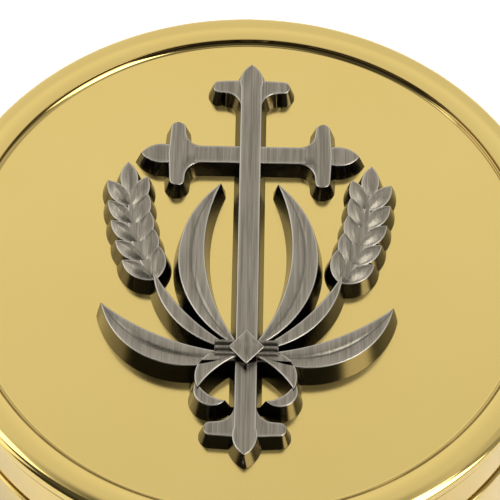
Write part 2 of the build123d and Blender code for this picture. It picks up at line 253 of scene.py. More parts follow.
def shell(points, wrap_rows=False, wrap_columns=False, wear_and_shade=0.0):
    """A closed surface from a grid of points: quads between neighbours, a wrapped side joined to its start.

    Points that fall together become one, faces that collapse go, and the enclosed volume's sign turns
    the faces outwards."""
    rows, columns = points.shape[:2]
    index = np.arange(rows * columns).reshape(rows, columns)
    index = np.vstack([index, index[:1]]) if wrap_rows else index
    index = np.hstack([index, index[:, :1]]) if wrap_columns else index
    faces = np.stack([index[:-1, :-1], index[1:, :-1], index[1:, 1:], index[:-1, 1:]], -1).reshape(-1, 4)
    flat = points.reshape(-1, 3)
    values = np.broadcast_to(wear_and_shade, (rows, columns)).reshape(-1)
    key = np.round(flat / WELD).astype(np.int64)
    _, first, merged = np.unique(key, axis=0, return_index=True, return_inverse=True)
    faces, flat, values = merged.reshape(-1)[faces], flat[first], values[first]
    doubled = faces == np.roll(faces, -1, axis=1)
    count = doubled.sum(1)
    quads = faces[count == 0]
    quads = quads[(quads[:, 0] != quads[:, 2]) & (quads[:, 1] != quads[:, 3])]
    triangles = faces[count == 1][~doubled[count == 1]].reshape(-1, 3)
    corners = np.vstack([quads[:, [0, 1, 2]], quads[:, [0, 2, 3]], triangles])
    a, b, c = (flat[corners[:, i]] for i in range(3))
    if np.einsum("ij,ij->", a, np.cross(b, c)) < 0:
        quads, triangles = quads[:, ::-1], triangles[:, ::-1]
    return flat, quads, triangles, values


def capped(points, ends=None, wear_and_shade=0.0):
    """A closed surface from a row of closed sections, shut at both ends by collapsed sections.

    These are given, or else they are the middles of the first and the last section."""
    if ends is None:
        ends = points[[0, -1]].mean(1, keepdims=True).repeat(points.shape[1], 1)
    return shell(np.concatenate([ends[:1], points, ends[1:]]), wrap_columns=True, wear_and_shade=wear_and_shade)


def make_piece(name, shells, body, node, material):
    """One object from its shells, at the origin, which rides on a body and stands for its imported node."""
    starts = np.cumsum([0] + [len(part[0]) for part in shells])
    faces = []
    for start, part in zip(starts, shells):
        faces += (part[1] + start).tolist() + (part[2] + start).tolist()
    mesh = bpy.data.meshes.new(name)
    mesh.from_pydata(np.vstack([part[0] for part in shells]), [], faces)
    mesh.polygons.foreach_set("use_smooth", np.ones(len(faces), bool))
    wear_and_shade = mesh.attributes.new(WEAR_AND_SHADE, "FLOAT", "POINT")
    wear_and_shade.data.foreach_set("value", np.concatenate([part[3] for part in shells]).astype(np.float32))
    if mesh.validate():
        raise RuntimeError(f"{name} has broken faces")
    mesh.materials.append(material)
    piece = bpy.data.objects.new(name, mesh)
    bpy.context.scene.collection.objects.link(piece)
    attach(piece, body)
    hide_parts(node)


# Shader nodes

class Flow:
    """A number in a node tree: arithmetic on it adds Math nodes."""

    def __init__(self, tree, socket):
        self.tree, self.socket = tree, socket

    def math(self, operation, *values):
        return node(self.tree, "ShaderNodeMath", {"operation": operation}, dict(enumerate(values)))

    def __add__(self, other):
        return self.math("ADD", self, other)

    def __sub__(self, other):
        return self.math("SUBTRACT", self, other)

    def __rsub__(self, other):
        return self.math("SUBTRACT", other, self)

    def __mul__(self, other):
        return self.math("MULTIPLY", self, other)

    __radd__, __rmul__ = __add__, __mul__


def node(tree, kind, settings=None, sockets=None, output=0):
    """Adds a node: its settings first, then its sockets' values or links; returns one output as a Flow."""
    made = tree.nodes.new(kind)
    for key, value in (settings or {}).items():
        setattr(made, key, value)
    for key, value in (sockets or {}).items():
        if isinstance(value, Flow):
            tree.links.new(value.socket, made.inputs[key])
        else:
            made.inputs[key].default_value = value
    return Flow(tree, made.outputs[output]) if made.outputs else None


def rgba(values):
    """A colour with full alpha."""
    return (*values, 1.0)


def blend(tree, amount, one, two):
    """Mixes two colours by a number."""
    sockets = {0: amount, 6: one, 7: two}
    return node(tree, "ShaderNodeMix", {"data_type": "RGBA"}, sockets, output=2)


def noise(tree, stretch, detail=2.0):
    """Noise on the object's own coordinates, with a number of grains to the metre along each axis."""
    place = node(tree, "ShaderNodeTexCoord", output="Object")
    scaled = node(tree, "ShaderNodeMapping", None, {"Vector": place, "Scale": stretch})
    return node(tree, "ShaderNodeTexNoise", None, {"Vector": scaled, "Scale": 1.0, "Detail": detail})


def between(tree, value, low, high):
    """Smooth step from 0 at low to 1 at high."""
    sockets = {"Value": value, "From Min": low, "From Max": high}
    return node(tree, "ShaderNodeMapRange", {"interpolation_type": "SMOOTHSTEP"}, sockets)


def metal(name, base, rough, bump=None, depth=0.0):
    """A metal whose colour, roughness and relief come from its own nodes."""
    material = bpy.data.materials.get(name)
    if material:
        return material
    material = bpy.data.materials.new(name)
    material.use_nodes = True
    tree = material.node_tree
    shader = tree.nodes["Principled BSDF"]
    shader.inputs["Metallic"].default_value = 1.0
    tree.links.new(base(tree).socket, shader.inputs["Base Color"])
    tree.links.new(rough(tree).socket, shader.inputs["Roughness"])
    if bump:
        relief = node(tree, "ShaderNodeBump", None, {"Height": bump(tree), "Distance": depth})
        tree.links.new(relief.socket, shader.inputs["Normal"])
    return material


# Finishes: grains of noise to the metre along each axis, their detail, shares of tint and gloss, and depths

GOLD_DRIFT, GOLD_HAZE, HAZE_DETAIL, HAZE_GLOSS = (70, 70, 70), (900, 900, 900), 4.0, 0.03
LINE_DETAIL, LINE_DARK, LINE_LIGHT, LINE_GLOSS, LINE_DEPTH = 3.0, 0.78, 1.1, 0.14, 0.006 * MM
BRASS_LINES, BRASS_GLOSS = (250, 2600, 2600), 0.2
STEEL_LINES, STEEL_GLOSS = (3200, 3200, 160), 0.26
RIVET_LINES, RIVET_GLOSS = (700, 700, 700), 0.24
PEWTER_FINE, PEWTER_BROAD, FINE_SHARE, BROAD_SHARE = (8200, 190, 8200), (2300, 70, 2300), 0.6, 0.4
PEWTER_LOW, PEWTER_HIGH, PEWTER_DEPTH = 0.36, 0.64, 0.012 * MM


def wear_and_shade_share(tree, sign=1):
    """What the piece's own attribute has above 0, or below 0 for sign -1, as a positive number."""
    wear_and_shade = node(tree, "ShaderNodeAttribute", {"attribute_name": WEAR_AND_SHADE}, output="Fac") * sign
    return wear_and_shade.math("MAXIMUM", wear_and_shade, 0.0)


def gold_metal():
    """Polished gold plate with slight drifts of tint and gloss, satin where the attribute is above 0, and
    brown painted shade in its creases.
    """
    finish = bpy.context.scene.pyx_finish

    def base(tree):
        plate = blend(tree, noise(tree, GOLD_DRIFT), rgba(finish.gold), rgba(finish.gold_deep))
        # Painted shade: brown where the vertex attribute is below 0, in the hollow, groove, lip and mouth
        return blend(tree, wear_and_shade_share(tree, -1), plate, rgba(finish.crease_shade))

    def rough(tree):
        haze = (noise(tree, GOLD_HAZE, HAZE_DETAIL) - 0.5) * HAZE_GLOSS
        return finish.rim_gloss + wear_and_shade_share(tree) * (finish.satin - finish.rim_gloss) + haze

    return metal("polished_gold", base, rough)


def brushed_metal(name, tint, stretch, gloss):
    """Brass or steel with fine lines along one axis."""
    dark, light = (rgba([shade * part for part in tint]) for shade in (LINE_DARK, LINE_LIGHT))

    def lines(tree):
        return noise(tree, stretch, LINE_DETAIL)

    def base(tree):
        return blend(tree, lines(tree), dark, light)

    def rough(tree):
        return gloss + lines(tree) * LINE_GLOSS

    return metal(name, base, rough, lines, LINE_DEPTH)


def rivet_brass():
    """Satin brass of all the rivets."""
    return brushed_metal("satin_brass", bpy.context.scene.pyx_finish.rivet, RIVET_LINES, RIVET_GLOSS)


def pewter_metal():
    """Cast pewter: brushed along Y on top, edges bright from rubbing with a painted highlight on them, and
    glossier black patination with painted shade down its sides.
    """
    finish = bpy.context.scene.pyx_finish

    def streaks(tree):
        fine, broad = noise(tree, PEWTER_FINE, LINE_DETAIL), noise(tree, PEWTER_BROAD, LINE_DETAIL)
        return fine * FINE_SHARE + broad * BROAD_SHARE

    def base(tree):
        line = between(tree, streaks(tree), PEWTER_LOW, PEWTER_HIGH)
        face = blend(tree, line, rgba(finish.pewter_dark), rgba(finish.pewter))
        # Painted highlight on the edges bright from rubbing, then black patination with painted shade on the
        # sides and in grooves
        face = blend(tree, wear_and_shade_share(tree, -1), face, rgba(finish.rubbed_highlight))
        return blend(tree, wear_and_shade_share(tree), face, rgba(finish.patina_and_shade))

    def rough(tree):
        return finish.pewter_gloss + wear_and_shade_share(tree) * (finish.patina_gloss - finish.pewter_gloss)

    def relief(tree):
        return streaks(tree) * (1 - wear_and_shade_share(tree))

    return metal("cast_pewter", base, rough, relief, PEWTER_DEPTH)


# Box: small radii and steps, and how satin the rows of points along each profile are, or how much painted
# shade they carry

PLATE_POINTS, HOLLOW_STEPS, EDGE_STEPS, BORDER_STEPS, SHOULDER_STEPS = 2, 24, 8, 26, 28
FLANGE_EDGE, SKIRT_LIP, PLATE_CORNER = 0.06 * MM, 0.14 * MM, 0.5 * MM
BEAD_EDGE, MOUTH_ROUND, FLOOR_CORNER, CUP_STEPS = 0.12 * MM, 0.28 * MM, 1.0 * MM, 10
COLLAR_EDGE, COLLAR_STEPS, COLLAR_WORN = 0.2 * MM, 6, 0.45
NOTCH_ROOM, NOTCH_SLOPE, NOTCH_STEPS = 0.4 * MM, 0.04 * MM, 9
PLATE_WORN = 0.36
# Painted shade down the hollow under the border, row by row, darker on a stretch of it between two angles
# round from +X
HOLLOW_SHADE = np.interp(np.arange(HOLLOW_STEPS + EDGE_STEPS - 1), [0, 3, 6, 9, 13, 16, 24, 30],
                           [0, 0, 0.55, 0.15, 0.15, 0.9, 0.9, 0.4])
DULL_ROWS, DULL_ANGLES, DULL_SHADE = slice(7, 16), [0, 10, 40, 45], [0, 0.95, 0.95, 0]
LID_SATIN_AND_SHADE = (slice(10, 34), -0.8), (slice(39, 46), -0.6), (slice(51, None), 1.0)     # painted shade in the groove and on the lip, satin inside
CUP_SATIN_AND_SHADE = (slice(45, 54), -0.7), (slice(61, None), 1.0)    # painted shade at the mouth, and satin inside the floor


class PyxLid(bpy.types.Operator):
    """Turned lid with its sunk plate, border, shoulder, flange and skirt"""
    bl_idname = "pyx.lid"
    bl_label = "Lid"

    def execute(self, context):
        box = context.scene.pyx_box
        outer, top, rim = lid_high.x, lid_high.z, lid_low.z
        wall, flange = outer - box.wall_step, top - box.flange_depth
        under = top - box.recess_depth - box.plate_thickness
        face = self.face(box, outer, top)
        groove, ledge = wall - box.groove_depth, flange - box.groove_height
        corners = [(outer, face[-1, 1] - GUARD), (outer, flange), (groove, flange - box.wall_step),
                   (groove, ledge), (wall, ledge), (wall, rim), (box.skirt_bore, rim),
                   (box.skirt_bore, under), (0, under)]
        outside = rounded(corners, [FLANGE_EDGE, FLANGE_EDGE, BROKEN_EDGE, box.skirt_round, box.skirt_round,
                                    SKIRT_LIP, PLATE_CORNER])
        profile, wear_and_shade = np.vstack([face, outside]), self.wear_and_shade(len(face), len(outside), box.segments)
        make_piece("lid", [turned(profile, box.segments, wear_and_shade=wear_and_shade)], "lid", "lid_shell", gold_metal())
        return {"FINISHED"}

    def wear_and_shade(self, face, outside, segments):
        """How satin each row is, or how much painted shade it carries: a slightly satin plate, painted shade
        in the hollow, the groove and the lip, and a satin inside. The hollow's painted shade is darker
        between two angles round from +X."""
        wear_and_shade = np.zeros(face + outside)
        wear_and_shade[:PLATE_POINTS] = PLATE_WORN
        wear_and_shade[PLATE_POINTS:PLATE_POINTS + len(HOLLOW_SHADE)] = -HOLLOW_SHADE
        for rows, value in LID_SATIN_AND_SHADE:
            wear_and_shade[face:][rows] = value
        wear_and_shade = np.repeat(wear_and_shade[:, None], segments, 1)
        turn = 360 * np.arange(segments) / segments
        wear_and_shade[DULL_ROWS] = np.minimum(wear_and_shade[DULL_ROWS], -np.interp(turn, DULL_ANGLES, DULL_SHADE))
        return wear_and_shade

    def face(self, box, outer, top):
        """Profile of the lid's face: flat plate, hollow arc up to a crisp edge, border with a crest on a
        parabola, top - crown ((s - crest) / crest)^2, and a shoulder on a quarter of an ellipse."""
        crown, crest, edge_round = box.border_crown, box.border_crest, box.border_round
        inner = outer - box.border_width + box.border_back
        flat = outer - box.shoulder_run - inner
        lean = np.arctan(2 * crown / (crest * flat))
        fall = 2 * crown * (1 - crest) / (crest ** 2 * flat)
        reach = box.recess_hollow + edge_round
        steep = np.arccos((box.recess_hollow + edge_round * cos(lean) - box.recess_depth + crown) / reach)
        edge_middle = np.array([inner + edge_round * sin(lean), top - crown - edge_round * cos(lean)])
        hollow_middle = edge_middle + reach * np.array([-sin(steep), cos(steep)])
        hollow = arc(hollow_middle, box.recess_hollow, -90, np.degrees(steep) - 90, HOLLOW_STEPS)
        edge = arc(edge_middle, edge_round, 90 + np.degrees(steep), 90 + np.degrees(lean), EDGE_STEPS)
        along = np.linspace(0, 1, BORDER_STEPS)
        border = np.stack([inner + flat * along, top - crown * ((along - crest) / crest) ** 2], 1)
        first = np.arctan(fall * box.shoulder_run / box.shoulder_drop)
        run = box.shoulder_run / (1 - sin(first))
        turn = np.linspace(first, pi / 2, SHOULDER_STEPS)
        shoulder = np.stack([outer - run * (1 - np.sin(turn)),
                             border[-1, 1] - box.shoulder_drop * (cos(first) - np.cos(turn))], 1)
        plate = [(0, hollow[0, 1]), (hollow[0, 0] - GUARD, hollow[0, 1])]
        return np.vstack([plate, hollow, edge[1:], border[1:-1], shoulder])


class PyxBase(bpy.types.Operator):
    """Turned cup of the base with a rounded foot and a bead, and the collar that guides the lid"""
    bl_idname = "pyx.base"
    bl_label = "Base"

    def execute(self, context):
        box = context.scene.pyx_box
        outer, mouth = cup_high.x, cup_high.z
        wall, bead = outer - box.wall_step, mouth - box.bead_depth
        corners = [(0, 0), (wall, 0), (wall, bead), (outer, bead + box.wall_step), (outer, mouth),
                   (box.cup_bore, mouth), (box.cup_bore, box.floor_thickness), (0, box.floor_thickness)]
        radii = [box.foot_round, BEAD_EDGE, BEAD_EDGE, MOUTH_ROUND, BEAD_EDGE, FLOOR_CORNER]
        profile = rounded(corners, radii, CUP_STEPS)
        wear_and_shade = np.zeros((len(profile), 1))
        for rows, value in CUP_SATIN_AND_SHADE:
            wear_and_shade[rows] = value
        make_piece("cup", [turned(profile, box.segments, wear_and_shade=wear_and_shade)], "base", "base_cup", gold_metal())
        collar = self.collar(box, context.scene.pyx_hinge)
        make_piece("collar", [collar], "base", "base_collar", gold_metal())
        return {"FINISHED"}

    def collar(self, box, hinge):
        """Closed section carried round the box, whose top edge drops between two angles for the nib."""
        outer, low, high = collar_high.x, collar_low.z, collar_high.z
        bore, edge = outer - box.collar_thickness, COLLAR_EDGE
        notch_half = (hinge.nib_width / 2 + NOTCH_ROOM) / outer
        notch_top = spring_high.z - hinge.nib_height - NOTCH_ROOM
        slope = NOTCH_SLOPE / outer
        turn = np.linspace(notch_half + slope, 2 * pi - notch_half - slope, box.segments)
        turn = np.concatenate([np.linspace(-notch_half, notch_half, NOTCH_STEPS), turn])
        top = np.where(np.abs(turn) <= notch_half, notch_top, high)
        section = closed_line([(outer, low), (outer, high), (bore, high), (bore, low)],
                              [edge / 2, edge, edge, edge / 2], COLLAR_STEPS)
        lift = (section[:, 1] > (low + high) / 2)[:, None] * (top - high)
        radius = section[:, 0, None]
        points = np.stack([radius * np.sin(turn), -radius * np.cos(turn), section[:, 1, None] + lift], -1)
        return shell(points, True, True, wear_and_shade=COLLAR_WORN)


# Hinge, tab and catch

KNUCKLES, KNUCKLE_EDGE, WEB_LAP, BARREL_ROOM = 5, 0.12 * MM, 0.1 * MM, 0.15 * MM
LEAF_PROUD, LEAF_EDGE, SCOOP_STEP = 0.4 * MM, 0.1 * MM, 0.01 * MM
PIN_HEAD, PIN_DOME, PIN_NECK, PIN_SEGMENTS = 0.45 * MM, 0.27 * MM, 0.06 * MM, 64
SPRING_EDGE, NIB_EDGE, NIB_STEP = 0.06 * MM, 0.24 * MM, 0.02 * MM
CATCH_HEAD, CATCH_DOME, CATCH_SHANK, RIVET_SEGMENTS = 0.35 * MM, 0.26 * MM, 0.5 * MM, 48
CURL_STEPS, WEB_STEPS, CORNER_STEPS, LEAF_STEPS, NIB_STEPS = 44, 6, 14, 25, 9
TAB_ROUND_STEPS, TAB_OUT_STEPS = 73, 26


def rivet(end, tail, radius, neck, dome, shank):
    """Profile of a rivet: a domed head from its end to its neck, and a shank from there to its tail."""
    corners = [(0, end), (radius, end), (radius, neck), (shank, neck), (shank, tail), (0, tail)]
    return rounded(corners, [dome] + 3 * [BROKEN_EDGE])


class PyxHingeLeaves(bpy.types.Operator):
    """Two curved hinge leaves with their knuckles, and the pin through them"""
    bl_idname = "pyx.hinge"
    bl_label = "Hinge"

    def execute(self, context):
        box, hinge = context.scene.pyx_box, context.scene.pyx_hinge
        brass = brushed_metal("brushed_brass", context.scene.pyx_finish.brass, BRASS_LINES, BRASS_GLOSS)
        lid = [self.leaf(box, hinge, lid_leaf_high.z - hinge.leaf_height, 1, 1)]
        base = [self.leaf(box, hinge, base_leaf_low.z, -1, 0)]
        for number in range(KNUCKLES):
            leaf, side = (lid, 1) if number % 2 else (base, -1)
            leaf.append(self.knuckle(hinge, number, side))
        make_piece("lid_hinge_leaf", lid, "lid", "hinge_lid_leaf", brass)
        make_piece("base_hinge_leaf", base, "base", "hinge_base_leaf", brass)
        make_piece("hinge_pin_rod", [self.pin(hinge)], "base", "hinge_pin", brass)
        return {"FINISHED"}

    def span(self, hinge, number):
        """Start and end of a knuckle along X."""
        width = lid_leaf_high.x - lid_leaf_low.x
        size = (width - (KNUCKLES - 1) * hinge.knuckle_gap) / KNUCKLES
        start = lid_leaf_low.x + number * (size + hinge.knuckle_gap)
        return start, start + size

    def leaf(self, box, hinge, low, side, own):
        """Closed section carried along X round the wall.

        Its height follows the rounded corners, and its edge at the hinge is scooped by a cylinder round
        the pin wherever the other leaf's knuckles turn."""
        half, corner, tall = lid_leaf_high.x, hinge.leaf_corner, hinge.leaf_height
        edges = np.array([self.span(hinge, number) for number in range(KNUCKLES) if number % 2 != own])
        edges += np.array([-hinge.knuckle_gap, hinge.knuckle_gap])
        ends = half - corner * (1 - np.sin(np.linspace(0, pi / 2, CORNER_STEPS)))
        x = np.concatenate([ends, -ends, np.linspace(-half + corner, half - corner, LEAF_STEPS),
                            edges.ravel() - SCOOP_STEP, edges.ravel() + SCOOP_STEP])
        x = np.unique(x[np.abs(x) <= half])[:, None]
        into = np.maximum(np.abs(x) - half + corner, 0)
        trim = corner - np.sqrt(np.maximum(corner ** 2 - into ** 2, 0))
        scooped = ((x > edges[:, 0]) & (x < edges[:, 1])).any(1, keepdims=True)
        inner, outer = lid_high.x - box.wall_step + SOLDER, lid_high.x + LEAF_PROUD
        near, far = (low, low + tall) if side > 0 else (low + tall, low)
        section = closed_line([(outer, near), (outer, far), (inner, far), (inner, near)], 4 * [LEAF_EDGE])
        radius, height = section[:, 0], np.clip((section[:, 1] - near) / (far - near), 0, 1)
        z = near + side * trim + height * (far - near - 2 * side * trim)
        room = hinge.barrel + BARREL_ROOM
        scoop = HINGE_Z + side * np.sqrt(np.maximum(room ** 2 - (HINGE_Y - radius) ** 2, 0))
        z = np.where(scooped & (side * (scoop - z) > 0), scoop, z)
        return capped(np.stack(np.broadcast_arrays(x, np.sqrt(radius ** 2 - x ** 2), z), -1))

    def knuckle(self, hinge, number, side):
        """Outline of a barrel with a tangent web, carried along X and back through its bore."""
        start, end = self.span(hinge, number)
        barrel, edge, root = hinge.barrel, KNUCKLE_EDGE, lid_high.x + WEB_LAP - HINGE_Y
        meet = np.degrees(np.arcsin(hinge.pin / barrel))
        curl = arc((0, 0), barrel, 90, -180 - meet, CURL_STEPS)
        web = np.array([(root, hinge.pin), (root, (hinge.pin + barrel) / 2), (root, barrel)])
        flat = np.stack([np.linspace(root, 0, WEB_STEPS)[1:-1], np.full(WEB_STEPS - 2, barrel)], 1)
        outline = np.vstack([curl, web, flat]) * (1, side)
        bore = hinge.bore * outline / np.linalg.norm(outline, axis=1, keepdims=True)
        turn = np.linspace(0, pi / 2, SMALL_STEPS)
        inset, rise = edge * (1 - np.sin(turn)), edge * (1 - np.cos(turn))
        x = np.concatenate([[start], start + rise, [start + edge + GUARD, end - edge - GUARD],
                            (end - rise)[::-1], [end]])[:, None]
        trim = np.concatenate([inset, [0, 0], inset[::-1]])
        rings = outline * (1 - trim[:, None, None] / barrel)
        rings = np.concatenate([bore[None], rings, bore[None]]) + (HINGE_Y, HINGE_Z)
        return shell(np.stack(np.broadcast_arrays(x, rings[..., 0], rings[..., 1]), -1), True, True)

    def pin(self, hinge):
        """Profile of a rod with two domed heads carried round the hinge's axis."""
        end, head, neck = pin_high.x, (pin_high.z - pin_low.z) / 2, pin_high.x - PIN_HEAD
        dome = rounded([(0, end), (head, end), (head, neck), (hinge.pin, neck)], [PIN_DOME, PIN_NECK])
        profile = np.vstack([dome, (dome * (1, -1))[::-1]])
        return turned(profile, PIN_SEGMENTS, "X", (0, HINGE_Y, HINGE_Z))


class PyxTab(bpy.types.Operator):
    """Half-moon thumb tab on the front of the lid"""
    bl_idname = "pyx.tab"
    bl_label = "Thumb tab"

    def execute(self, context):
        """Radial sections of a disc, from the lid's wall to the disc's edge, where they have a round lip."""
        box, hinge = context.scene.pyx_box, context.scene.pyx_hinge
        wall = lid_high.x - box.wall_step + SOLDER
        disc, lip = hinge.tab_radius, hinge.tab_round
        centre_y, middle = tab_low.y + disc, (tab_low.z + tab_high.z) / 2
        thick = (tab_high.z - tab_low.z) / 2
        sweep = np.arcsin(tab_high.x / disc)
        angle = np.linspace(-sweep, sweep, TAB_ROUND_STEPS)[:, None]
        across, ahead = np.sin(angle), -np.cos(angle)
        reach = -centre_y * ahead + np.sqrt((centre_y * ahead) ** 2 - centre_y ** 2 + wall ** 2)
        reach = np.minimum(reach, disc)
        radius = reach + (disc - reach) * np.sin(np.linspace(0, 1, TAB_OUT_STEPS) * pi / 2)
        into = np.maximum(radius - disc + lip, 0)
        half = thick - lip + np.sqrt(np.maximum(lip ** 2 - into ** 2, 0))
        radius, half = np.hstack([radius, radius[:, ::-1]]), np.hstack([half, -half[:, ::-1]])
        points = np.stack([radius * across, centre_y + radius * ahead, middle + half], -1)
        make_piece("tab", [capped(points)], "lid", "thumb_tab", gold_metal())
        return {"FINISHED"}


class PyxCatch(bpy.types.Operator):
    """Spring tongue of the catch with its nib, and its two rivets"""
    bl_idname = "pyx.catch"
    bl_label = "Catch"

    def execute(self, context):
        hinge, finish = context.scene.pyx_hinge, context.scene.pyx_finish
        steel = brushed_metal("rolled_steel", finish.spring, STEEL_LINES, STEEL_GLOSS)
        make_piece("spring_tongue", [self.tongue(hinge)], "catch", "catch_spring", steel)
        make_piece("spring_rivets", self.rivets(), "base", "catch_rivets", rivet_brass())
        return {"FINISHED"}

    def tongue(self, hinge):
        """Closed side view carried across X: the nib's points fall back to the face outside the nib."""
        half, low, high, back = spring_high.x, spring_low.z, spring_high.z, spring_high.y
        face, tip, foot = back - hinge.spring_thickness, spring_low.y, high - hinge.nib_height
        edge, nib = SPRING_EDGE, hinge.nib_width / 2
        side = closed_line([(back, low), (face, low), (face, foot), (tip, foot), (tip, high), (back, high)],
                           [edge, edge, edge, NIB_EDGE, NIB_EDGE, edge])
        across = edge * (1 - np.cos(np.linspace(0, pi / 2, SMALL_STEPS)))
        x = np.concatenate([-half + across, [-nib - NIB_STEP, -nib], np.linspace(-nib, nib, NIB_STEPS)[1:-1],
                            [nib, nib + NIB_STEP], (half - across)[::-1]])[:, None]
        bow = abs(tip) - np.sqrt(tip ** 2 - np.minimum(np.abs(x), nib) ** 2)
        beyond = side[:, 0] < face - 10 * WELD
        y = np.where(beyond, np.where(np.abs(x) <= nib, side[:, 0] + bow, face), side[:, 0])
        return capped(np.stack(np.broadcast_arrays(x, y, side[:, 1]), -1))

    def rivets(self):
        """A rivet's profile carried round each rivet's axis."""
        low, high = spring_rivet_low, spring_rivet_high
        radius, middle = (high.z - low.z) / 2, (low.z + high.z) / 2
        profile = rivet(high.y, low.y, radius, high.y - CATCH_HEAD, CATCH_DOME, CATCH_SHANK)
        places = radius - high.x, high.x - radius
        return [turned(profile, RIVET_SEGMENTS, "Y", (x, 0, middle)) for x in places]


# Emblem

PLATE_RADIUS = lid_high.x - BORDER_WIDTH * MM
EMBLEM_MARGIN, FOOT_MARGIN = 3.58 * MM, 4.72 * MM
TOP_SQUARES = 20.8
SQUARE = (PLATE_RADIUS - EMBLEM_MARGIN) / TOP_SQUARES
FOOT_SQUARES = (FOOT_MARGIN - PLATE_RADIUS) / SQUARE
BAR_LEVEL, ARM_REACH, STEM_HALF, BAR_HALF = 10.8, 9.6, 0.92, 0.9
PETAL_LENGTH, PETAL_HALF, PETAL_SWELL, PETAL_STEPS, PETAL_EASE = 2.6, 1.02, 1.6, 24, 1.5
LOBE_BACK, SIDE_LOBE_BACK, LOBE_SPAN, LOBE_SINK, LOBE_STEPS = 2.5, 3.2, 3.4, 0.08 * MM, 16
LOBE_HALF, LOBE_END, LOBE_ROUND, FLARE_LENGTH, FLARE_RADIUS = 0.8, 0.6, 0.55, 2.6, 1.5
INNER_LEAF = ((0.4, -9.7), (2.5, 7.2), -2.2, -4.5)
LOWER_LEAF = ((0.8, -10.2), (12.4, -5.4), -1.0, -3.4)
STALK = ((0.6, -9.8), (8.1, -1.9), -0.8, -2.0)
TAIL = ((0.3, -10.2), (4.0, -13.6), 1.9, 0.4)
TAIL_CURL = ((4.1, -12.9), (1.7, -14.7), 1.4, 0.4)
EAR_FOOT, EAR_TIP, EAR_BOW, SPINE_HALF = (7.6, -3.3), (10.4, 6.2), -0.5, 0.6
GRAIN_PAIRS, GRAIN_LENGTH, GRAIN_HALF, GRAIN_SPLAY, GRAIN_START = 5, 3.5, 0.78, 30.0, 0.35
TIE_HALF_WIDTH, TIE_HALF_HEIGHT, TIE_LEVEL = 2.7, 0.9, -9.7
BOSS_HALF_WIDTH, BOSS_HALF_HEIGHT, BOSS_SLOPE, BOSS_STEPS = 1.5, 1.7, 0.12, 41
GRAIN_SLOPE, GRAIN_STEPS, BLADE_STEPS = 0.5, 30, 60
# The last of these is how much black patination with painted shade lies between the tie's ribs
TIE_STEPS, TIE_RIBS, RIB_HIGH, RIB_ROUND, RIB_SHADE = 61, 3, 0.24 * MM, 0.7, 0.9
TIE_FADE, TIE_END_DROP, TIE_SIDE_DROP = 0.12, 0.3 * MM, 0.2 * MM
RIVET_HEAD, RIVET_NECK, RIVET_DOME, RIVET_SHANK = 1.1 * MM, 0.5 * MM, 0.35 * MM, 0.45 * MM
MITRE_LIMIT = 1.5           # times the draft, at sharp tips
GROOVE_AWAY = np.array([0.34, 0.26, 0.13, 0.03, 0]) * MM    # distances from the middle of a leaf
GROOVE_DEEP = np.array([0, 0.08, 0.6, 1, 1])                # shares of the groove's depth at these
GROOVE_END, GROOVE_SHADE = 0.2, 0.55                         # half width in millimetres where it runs out, and black patination with painted shade in the groove
ROOF_AWAY, ROOF_RIDGE = np.array([0.7, 0.35, 0.06, 0]), 0.03    # shares of a roof's half width
SIDE_SHADE_AND_HIGHLIGHT = [1, 1, 1, 0.9, 0.3, -0.5, -0.8, -0.6, -0.15]    # up the side black patination with painted shade, then a painted highlight round the edge, bright from rubbing


def outward(line, other):
    """Unit normals of an edge line that point away from the other edge line."""
    ahead = np.gradient(line, axis=0)
    side = np.stack([-ahead[:, 1], ahead[:, 0]], 1) / np.linalg.norm(ahead, axis=1, keepdims=True)
    return side * np.sign(np.einsum("ij,ij->", side, line - other))


def splayed(left, right, draft):
    """How far each edge's foot stands out: square to the edge, and at both ends along the mitre of the two.

    A mitre is as long as the draft over the cosine of half the turn, up to a limit at sharp tips."""
    one, two = outward(left, right), outward(right, left)
    ends = [0, -1]
    both = one[ends] + two[ends]
    size = np.linalg.norm(both, axis=1, keepdims=True)
    one[ends] = two[ends] = both / size * np.minimum(2 / size, MITRE_LIMIT)
    return one * draft, two * draft


